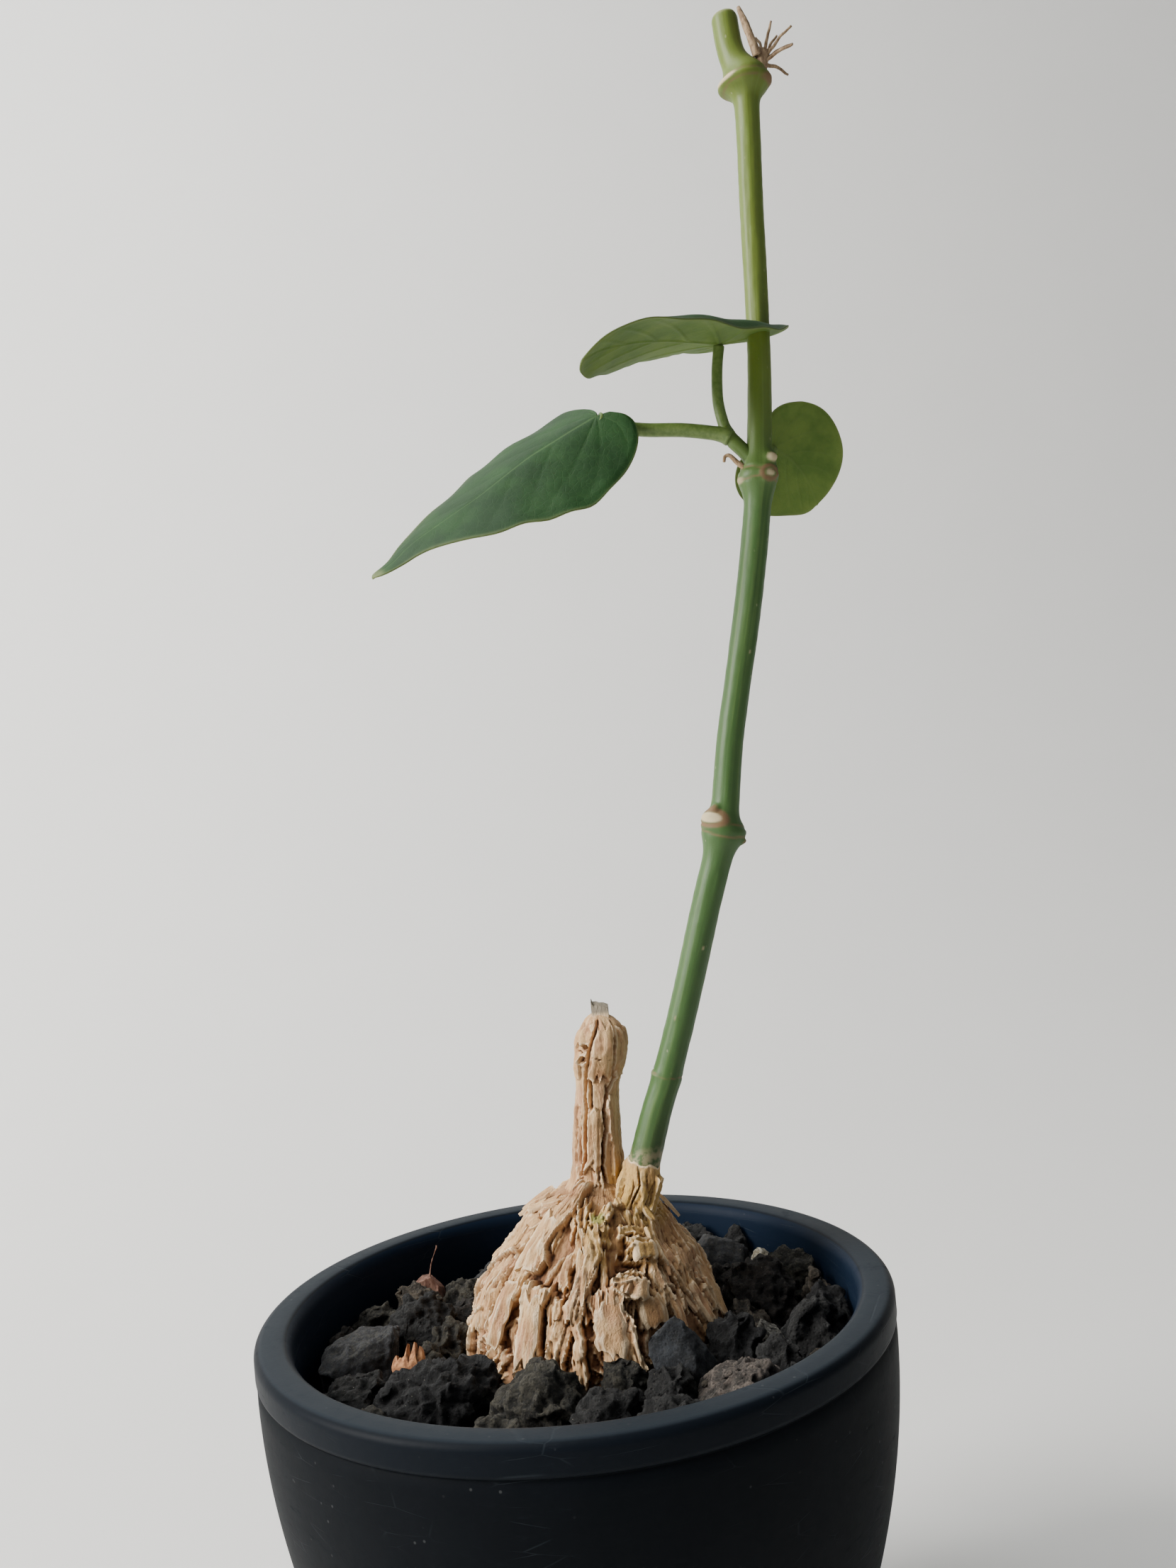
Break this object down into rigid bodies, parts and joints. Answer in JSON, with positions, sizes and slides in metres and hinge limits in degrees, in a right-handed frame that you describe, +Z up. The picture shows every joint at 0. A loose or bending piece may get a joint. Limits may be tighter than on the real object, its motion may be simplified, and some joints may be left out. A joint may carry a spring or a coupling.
{
  "type": "potted matelea",
  "caption": "Potted matelea: a corky, deeply ribbed swollen foot with a dead stump and a slender green vine with heart-shaped leaves, in a dark round pot dressed with lava rock.",
  "frame": {"origin": "middle of the pot's flat underside", "axes": "+Z up along the pot's axis; -Y towards the plant's best side, as in the picture; +X to the viewer's right there"},
  "size_m": [0.1236, 0.113, 0.3278],
  "materials": {
    "dry_bits": "dry, tan to brown",
    "bark": "cream-tan cork, deeply ribbed and flaking",
    "leaf": "deep green, satin, pale veins",
    "pot": "satin dark navy, faint scuffs",
    "potting_mix": "coarse bark and peat with grit",
    "rock_black": "rough pitted lava rock, dusty",
    "rock_blue": "rough pitted lava rock, dusty",
    "rock_brown": "rough pitted lava rock, dusty",
    "rock_charcoal": "rough pitted lava rock, dusty",
    "rock_cream": "rough pitted lava rock, dusty",
    "rock_olive": "rough pitted lava rock, dusty",
    "rock_pale": "rough pitted lava rock, dusty",
    "rock_pink": "rough pitted lava rock, dusty",
    "rock_slate": "rough pitted lava rock, dusty",
    "rock_tan": "rough pitted lava rock, dusty",
    "rock_white": "rough pitted lava rock, dusty",
    "stem": "smooth green skin, half matte"
  },
  "bodies": {
    "root": {"bark_chip": "dry_bits", "caudex": "bark", "dried_bract": "dry_bits", "dried_flower_stalk": "dry_bits", "dry_twig": "dry_bits", "leaf_lower": "leaf", "leaf_rear": "leaf", "leaf_upper": "leaf", "pot": "pot", "potting_mix": "potting_mix", "stone_black_13": "rock_black", "stone_black_21": "rock_black", "stone_black_27": "rock_black", "stone_blue_20": "rock_blue", "stone_brown_02": "rock_brown", "stone_brown_33": "rock_brown", "stone_brown_34": "rock_brown", "stone_brown_41": "rock_brown", "stone_brown_44": "rock_brown", "stone_brown_48": "rock_brown", "stone_charcoal_05": "rock_charcoal", "stone_charcoal_10": "rock_charcoal", "stone_charcoal_12": "rock_charcoal", "stone_charcoal_16": "rock_charcoal", "stone_charcoal_18": "rock_charcoal", "stone_charcoal_19": "rock_charcoal", "stone_charcoal_24": "rock_charcoal", "stone_charcoal_26": "rock_charcoal", "stone_charcoal_30": "rock_charcoal", "stone_charcoal_36": "rock_charcoal", "stone_charcoal_37": "rock_charcoal", "stone_charcoal_42": "rock_charcoal", "stone_charcoal_43": "rock_charcoal", "stone_charcoal_45": "rock_charcoal", "stone_cream_32": "rock_cream", "stone_olive_03": "rock_olive", "stone_olive_06": "rock_olive", "stone_olive_08": "rock_olive", "stone_olive_09": "rock_olive", "stone_olive_14": "rock_olive", "stone_olive_15": "rock_olive", "stone_olive_17": "rock_olive", "stone_olive_31": "rock_olive", "stone_olive_40": "rock_olive", "stone_olive_46": "rock_olive", "stone_olive_47": "rock_olive", "stone_pale_25": "rock_pale", "stone_pink_23": "rock_pink", "stone_slate_01": "rock_slate", "stone_slate_07": "rock_slate", "stone_slate_35": "rock_slate", "stone_slate_38": "rock_slate", "stone_slate_39": "rock_slate", "stone_tan_04": "rock_tan", "stone_tan_22": "rock_tan", "stone_tan_28": "rock_tan", "stone_tan_29": "rock_tan", "stone_white_11": "rock_white", "vine_stem": "stem"}
  },
  "joints": []
}
